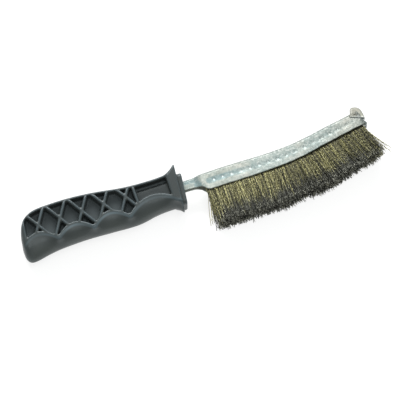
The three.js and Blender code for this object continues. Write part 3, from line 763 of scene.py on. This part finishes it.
def make_strip(material):
    s = np.arange(TANG_START, CHANNEL_END + 0.01, STRIP_STEP)
    halves, grooves, dimples, shades = [], [], [], []
    for hand in (1, -1):
        z_out, h_out, z_in, h_in, groove, dimple, shade = strip_side(s, hand)
        bare = np.zeros((len(s), z_in.shape[1] + 1))
        grooves.append(np.concatenate([groove, bare], 1))
        dimples.append(np.concatenate([dimple, bare], 1))
        shades.append(np.concatenate([shade, bare], 1))
        lip_z = (z_out[:, -1] + z_in[:, -1]) / 2
        lip_h = (h_out[:, -1] + h_in[:, -1]) / 2 + SHEET * 0.3
        z = np.concatenate([z_out, lip_z[:, None], z_in[:, ::-1]], 1)
        h = np.concatenate([h_out, lip_h[:, None], h_in[:, ::-1]], 1)
        halves.append(place(s[:, None], -h, hand * z))
    right, left = halves
    ring = fold_end(np.concatenate([right, left[:, 1:-1][:, ::-1]], 1))
    n, m, _ = ring.shape
    quads = np.concatenate([tube_rings((n, m)), end_caps(n, m, right.shape[1])])
    points = ring.reshape(-1, 3)
    piece = make_mesh("formed_strip", row(points), quads)
    number_attribute(piece, "wear", np.clip((points[:, 0] - 25) / 85, 0, 1))
    above = above_crease(points[:, 0], points[:, 1])
    beyond = points[:, 0] > CREASE_START[0] - 0.3
    # painted shade along the fold, and a painted dark reflection on the last few mm of the strip
    folded = bump(np.abs(above + 0.1) / 0.75) * beyond
    turned = 0.6 * smoothstep(123.5, 128.0, points[:, 0]) * (np.abs(points[:, 2]) > 1.5)
    number_attribute(piece, "crease", np.maximum(folded, turned))
    number_attribute(piece, "dull", smoothstep(0.9, 1.7, above) * beyond)
    for name, (near, far) in (("groove", grooves), ("dimple", dimples), ("shade", shades)):
        number_attribute(piece, name, np.concatenate([near, far[:, 1:-1][:, ::-1]], 1))
    piece.data.materials.append(material)
    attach(piece, "root")
    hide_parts("channel_strip")


def tab_field(x, y, z):
    """Field of the strip's end wall, its small foot and its rounded tab."""
    above = above_crease(x, y)
    end = place(np.array([CHANNEL_END]), 0.0, 0.0)[0]
    angle = math.radians(BACK_SLOPE[-1][1])
    along = (x - end[0]) * math.cos(angle) + (y - end[1]) * math.sin(angle)
    high = -(x - end[0]) * math.sin(angle) + (y - end[1]) * math.cos(angle)
    wall = blend_max(slab(along, -1.0, 0.25), np.abs(z) - CHANNEL_HALF + END_NARROWING + 0.1, 0.8)
    wall = blend_max(wall, slab(high, -STRIP_HEIGHTS[-1][1] + 0.2, -1.0), 1.4)
    wall = np.maximum(wall, above - 0.2)
    rear = TAB_START[0] + TAB_LEAN * (y - TAB_START[1])
    thick = (np.abs(z) - TAB_HALF_LOW + 0.25 + TAB_TAPER * np.maximum(above, 0)) / math.hypot(1, TAB_TAPER)
    tab = blend_max(rear - x, y - TAB_TOP, 1.6)
    tab = blend_max(tab, x - TAB_FRONT, 5.8)
    tab = blend_max(tab, thick, 1.2)
    tab = blend_max(tab, 0.35 - above, 0.5)
    neck = np.maximum(np.abs(z) - TAB_HALF_LOW + 1.3, np.maximum(TAB_NECK_START - x, np.abs(above) - 1.0))
    neck = np.maximum(neck, x - TAB_FRONT + 0.9)
    foot = np.maximum(np.hypot(x - FOOT_X, y - FOOT_Y) - FOOT_RADIUS, np.abs(z) - FOOT_HALF)
    return np.minimum(blend_min(wall, foot, 1.0), blend_min(tab, neck, 0.6))


def make_tab(material):
    step = TAB_STEP
    low, high = np.array([118.5, -6.0, -5.6]), np.array([132.0, 17.0, 5.6])
    axes = [np.arange(low[a], high[a], step) for a in range(3)]
    grid = np.meshgrid(*axes, indexing="ij")
    points, quads = surface_nets(tab_field(*grid), low, step)
    points = relax(points, quads, 2)
    piece = make_mesh("end_tab", row(points), quads)
    above = above_crease(points[:, 0], points[:, 1])
    # painted shade along the fold and a painted dark reflection on the foot at the end
    shaded = 0.85 * smoothstep(127.6, 128.8, points[:, 0]) * (1 - smoothstep(3.0, 5.5, points[:, 1]))
    number_attribute(piece, "crease", np.maximum(bump(np.abs(above) / 0.8), shaded))
    number_attribute(piece, "dull", smoothstep(0.9, 1.7, above))
    number_attribute(piece, "wear", np.full(len(points), 0.15))
    number_attribute(piece, "edge", standing_out(points, quads, step))
    piece.data.materials.append(material)
    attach(piece, "root")
    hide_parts("channel_strip")


# ------------------------------------------------------------------ bristles
WIRE_RADIUS = 0.18
WIRE_SIDES = 4
WIRES_PER_BUNDLE = 130
# extra lean of the stray wires at each end, then how far the tips lean at places along the strip
STRAYS_NEAR = [-0.5, -0.8, -1.1, -1.4, -1.8, -2.2, -2.8, -3.4, -4.5]
STRAYS_FAR = [0.8, 1.3, 1.8, 2.4, 3.0, 3.8, 5.0, 6.8]
LEANS = [(12, 0.0), (30, -1.5), (60, -2.5), (90, 1.0), (110, 2.2), (126, 0.6)]
CRIMP_WAVE = 3.0
CRIMP_SWING = 0.27
LEG_POINTS = 40
SADDLE_POINTS = 7
SADDLE_RADIUS = 1.7
SADDLE_LAYERS = 1.15
TIP_SHARE = 0.006  # length of the short piece that shows the cut end
MOUTH_DEPTH = 11.7
LEG_DEPTHS = [CORE_DEPTH, 6.6, MOUTH_DEPTH, 24.0, 37.0]
TONES = [0.22, 0.5, 0.9]
TONE_SHARES = [0.35, 0.35, 0.3]
TONE_LOSS = 0.0036  # for each mm towards the tab
WORN_FROM, WORN_TO = 0.57, 0.9
STRAY_TONE, STRAY_WEAR = 0.85, 0.3
GLINT, GLINT_SHARE = 0.9, 0.42


def clump(s, seed):
    """Slow sideways drift that makes neighbouring wires lean together."""
    short = soft_noise(s / 2.1, s * 0 + seed * 3.7, SEED + 20)
    return short + 0.6 * soft_noise(s / 5.3, s * 0 + seed * 1.9, SEED + 21)


def leg_points(rng, s, layer, hand, stray):
    """Tip-to-core line of one leg of each wire: s, h, z, how far out each point is, and the crest
    of its crimp, each of shape wires x LEG_POINTS. stray is extra lean of each tip along the strip."""
    n = len(s)
    outer = rng.uniform(0, 1, n)
    trim = np.interp(s, *zip(*TRIM)) + rng.normal(-0.3, 0.85, n) + 0.6 * clump(s, hand + 2) + 0.4 * outer
    z_marks = np.stack([
        SADDLE_RADIUS + SADDLE_LAYERS * layer,
        0.35 + 1.6 * outer,
        0.3 + 2.8 * outer,
        0.3 + 5.9 * outer,
        0.2 + 9.0 * outer ** 0.95,
    ], 1)
    share = np.linspace(0, 1, LEG_POINTS)[None, :]
    share[0, 1] = TIP_SHARE
    h = -trim[:, None] + (trim[:, None] - CORE_DEPTH) * share
    z = np.empty_like(h)
    for k in range(n):
        z[k] = np.interp(-h[k], LEG_DEPTHS, z_marks[k])
    free = np.clip((-h - MOUTH_DEPTH) / (trim[:, None] - MOUTH_DEPTH), 0, 1)
    lean = np.interp(s, *zip(*LEANS)) + 0.16 * clump(s, hand + 5) + rng.normal(0, 2.0, n) + stray
    along = s[:, None] + lean[:, None] * free ** 1.3
    z = z + 0.5 * clump(s, hand + 8)[:, None] * free * outer[:, None]
    phase = rng.uniform(0, 2 * math.pi, n)[:, None]
    heading = rng.uniform(0, 2 * math.pi, n)[:, None]
    turn = phase - 2 * math.pi * h / CRIMP_WAVE
    swing = CRIMP_SWING * np.clip(free * 6, 0, 1) * np.sin(turn)
    bow = 0.5 * rng.normal(0, 1, n)[:, None] * np.sin(math.pi * np.clip(free, 0, 1))
    along = along + swing * np.cos(heading) + bow
    z = z + swing * np.sin(heading)
    crest = np.sin(turn + 1.2)
    return along, h, np.maximum(z, 0.05) * hand, free, crest


def wire_paths(rng, s, stray=0.0):
    """Whole folded wires, tip over the core wire to tip, how far out each point is, and its crest."""
    layer = rng.uniform(0, 1, len(s))
    s1, h1, z1, f1, c1 = leg_points(rng, s, layer, 1, stray)
    s2, h2, z2, f2, c2 = leg_points(rng, s, layer, -1, stray)
    radius = (SADDLE_RADIUS + SADDLE_LAYERS * layer)[:, None]
    turn = np.linspace(0, math.pi, SADDLE_POINTS + 2)[None, 1:-1]
    s3 = np.repeat(s[:, None], SADDLE_POINTS, 1)
    h3 = -CORE_DEPTH + radius * np.sin(turn)
    z3 = radius * np.cos(turn)
    along = np.concatenate([s1, s3, s2[:, ::-1]], 1)
    high = np.concatenate([h1, h3, h2[:, ::-1]], 1)
    across = np.concatenate([z1, z3, z2[:, ::-1]], 1)
    free = np.concatenate([f1, 0 * s3, f2[:, ::-1]], 1)
    crest = np.concatenate([c1, 0 * s3, c2[:, ::-1]], 1)
    return place(along, high, across), free, crest


def tube_mesh(name, paths, radius):
    """Closed thin tubes round many paths of equal length, as one mesh."""
    n, m, _ = paths.shape
    ahead = np.gradient(paths, axis=1)
    ahead /= np.linalg.norm(ahead, axis=2, keepdims=True)
    first = np.cross(ahead, np.array([1.0, 0.0, 0.0]))
    first /= np.linalg.norm(first, axis=2, keepdims=True) + 1e-9
    second = np.cross(ahead, first)
    turn = np.arange(WIRE_SIDES) * 2 * math.pi / WIRE_SIDES
    ring = first[:, :, None] * np.cos(turn)[:, None] + second[:, :, None] * np.sin(turn)[:, None]
    points = (paths[:, :, None] + radius * ring).reshape(-1, 3)
    one = tube_rings((m, WIRE_SIDES))
    last = (m - 1) * WIRE_SIDES
    sides = np.arange(WIRE_SIDES)
    one = np.concatenate([one, [sides[::-1]], [last + sides]])
    quads = (one[None] + (np.arange(n) * m * WIRE_SIDES)[:, None, None]).reshape(-1, 4)
    return make_mesh(name, row(points), quads)


def make_bristles(material):
    """One mesh of wires for each bundle; wires near the two ends are less worn."""
    pitch = (BRISTLE_END - BRISTLE_START) / BUNDLE_COUNT
    count = WIRES_PER_BUNDLE
    for k in range(BUNDLE_COUNT):
        rng = np.random.default_rng(SEED + 100 + k)
        s = BRISTLE_START + pitch * (k + rng.uniform(0, 1, count))
        paths, free, crest = wire_paths(rng, s)
        if k in (0, BUNDLE_COUNT - 1):
            edge, leans = (BRISTLE_END - 0.4, STRAYS_FAR) if k else (BRISTLE_START + 0.4, STRAYS_NEAR)
            more = wire_paths(rng, np.full(len(leans), edge), np.array(leans))
            paths, free, crest = (np.concatenate(pair) for pair in zip((paths, free, crest), more))
        name = f"crimped_wires_{k + 1:02d}"
        piece = tube_mesh(name, paths, WIRE_RADIUS)
        wires = len(paths)
        tone = rng.choice(TONES, wires, p=TONE_SHARES)
        tone = (tone + rng.normal(0, 0.08, wires))[:, None]
        tip_x = paths[:, :1, 0]
        tone = tone * (1.11 - TONE_LOSS * (tip_x - BRISTLE_START)) + 0.04 * clump(tip_x, 30)
        tone[count:] = STRAY_TONE
        spared = 0.16 * smoothstep(BRISTLE_END - 15, BRISTLE_END, tip_x)
        spared = spared + 0.14 * (1 - smoothstep(BRISTLE_START, BRISTLE_START + 5, tip_x))
        worn = smoothstep(WORN_FROM, WORN_TO, free - spared + rng.normal(0, 0.1, wires)[:, None])
        worn[count:] *= STRAY_WEAR
        # painted shade where the wire lies inside and just under the strip; lighter on the crimp crests,
        # partly rubbed coating and partly painted sheen
        tint = tone * (1 - 0.5 * worn) * (1 + 0.18 * crest) - 0.1 * (free < 0.05)
        # a lighter last part on some wires, partly bare tips and partly painted highlight; then painted
        # glints on the cut ends
        tint = tint + 0.35 * smoothstep(0.9, 1.0, free) * rng.uniform(0, 1, (wires, 1)) ** 2
        glints = rng.uniform(0, 1, (wires, 2)) < GLINT_SHARE
        tint[:, :2] += GLINT * glints[:, :1]
        tint[:, -2:] += GLINT * glints[:, 1:]
        tint = np.clip(tint, 0.02, 1)
        number_attribute(piece, "wire_tint", np.repeat(tint.ravel(), WIRE_SIDES))
        number_attribute(piece, "wire_tip", np.repeat(worn.ravel(), WIRE_SIDES))
        piece.data.materials.append(material)
        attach(piece, "root")
        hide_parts(f"bristle_bundle_{k + 1:02d}")


# ------------------------------------------------------------------ studio
def make_studio():
    """Pale floor, soft light, and a long-lens camera that looks down on the brush's side."""
    size = 3.0
    mesh = bpy.data.meshes.new("floor")
    corners = [(-size, -size, 0), (size, -size, 0), (size, size, 0), (-size, size, 0)]
    mesh.from_pydata(corners, [], [(0, 1, 2, 3)])
    floor = bpy.data.objects.new("floor", mesh)
    bpy.context.scene.collection.objects.link(floor)
    floor.data.materials.append(floor_material())

    world = bpy.data.worlds.new("studio")
    world.use_nodes = True
    world.node_tree.nodes["Background"].inputs["Color"].default_value = (0.96, 1, 0.98, 1)
    world.node_tree.nodes["Background"].inputs["Strength"].default_value = 0.5
    bpy.context.scene.world = world

    def softbox(name, spot, aim, width, depth, power):
        light = bpy.data.lights.new(name, "AREA")
        light.shape = "RECTANGLE"
        light.size, light.size_y, light.energy = width, depth, power
        holder = bpy.data.objects.new(name, light)
        holder.location = spot
        holder.rotation_mode = "QUATERNION"
        holder.rotation_quaternion = (Vector(aim) - Vector(spot)).to_track_quat("-Z", "Y")
        bpy.context.scene.collection.objects.link(holder)

    softbox("back_softbox", (0.1, 0.85, 0.62), (0, 0, 0), 0.8, 0.36, 11)
    softbox("strip_softbox", (0.14, -0.15, 1.1), (0, 0, 0), 1.0, 0.2, 2.7)

    camera = bpy.data.cameras.new("camera")
    view = bpy.data.objects.new("camera", camera)
    bpy.context.scene.collection.objects.link(view)
    bpy.context.scene.camera = view
    azimuth, elevation = math.radians(-19.5), math.radians(68)
    distance, field_width = 1.5, 0.2668
    back = Vector((
        math.sin(azimuth) * math.cos(elevation),
        -math.cos(azimuth) * math.cos(elevation),
        math.sin(elevation),
    ))
    aim = Vector(row([(5.8, -13.5, 0.0)])[0])
    camera.sensor_width = 36
    camera.lens = camera.sensor_width * distance / field_width
    camera.clip_start, camera.clip_end = 0.02, 10
    view.location = aim + back * distance
    view.rotation_mode = "QUATERNION"
    view.rotation_quaternion = (-back).to_track_quat("-Z", "Y")
    bpy.context.scene.view_settings.view_transform = "Standard"


# ------------------------------------------------------------------ assembly
plastic, zinc, wire = plastic_material(), zinc_material(), wire_material()
make_handle(plastic)
make_strip(zinc)
make_tab(zinc)
make_bristles(wire)
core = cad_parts["core_wire"]
core.data.materials.clear()
core.data.materials.append(core_material())
make_studio()
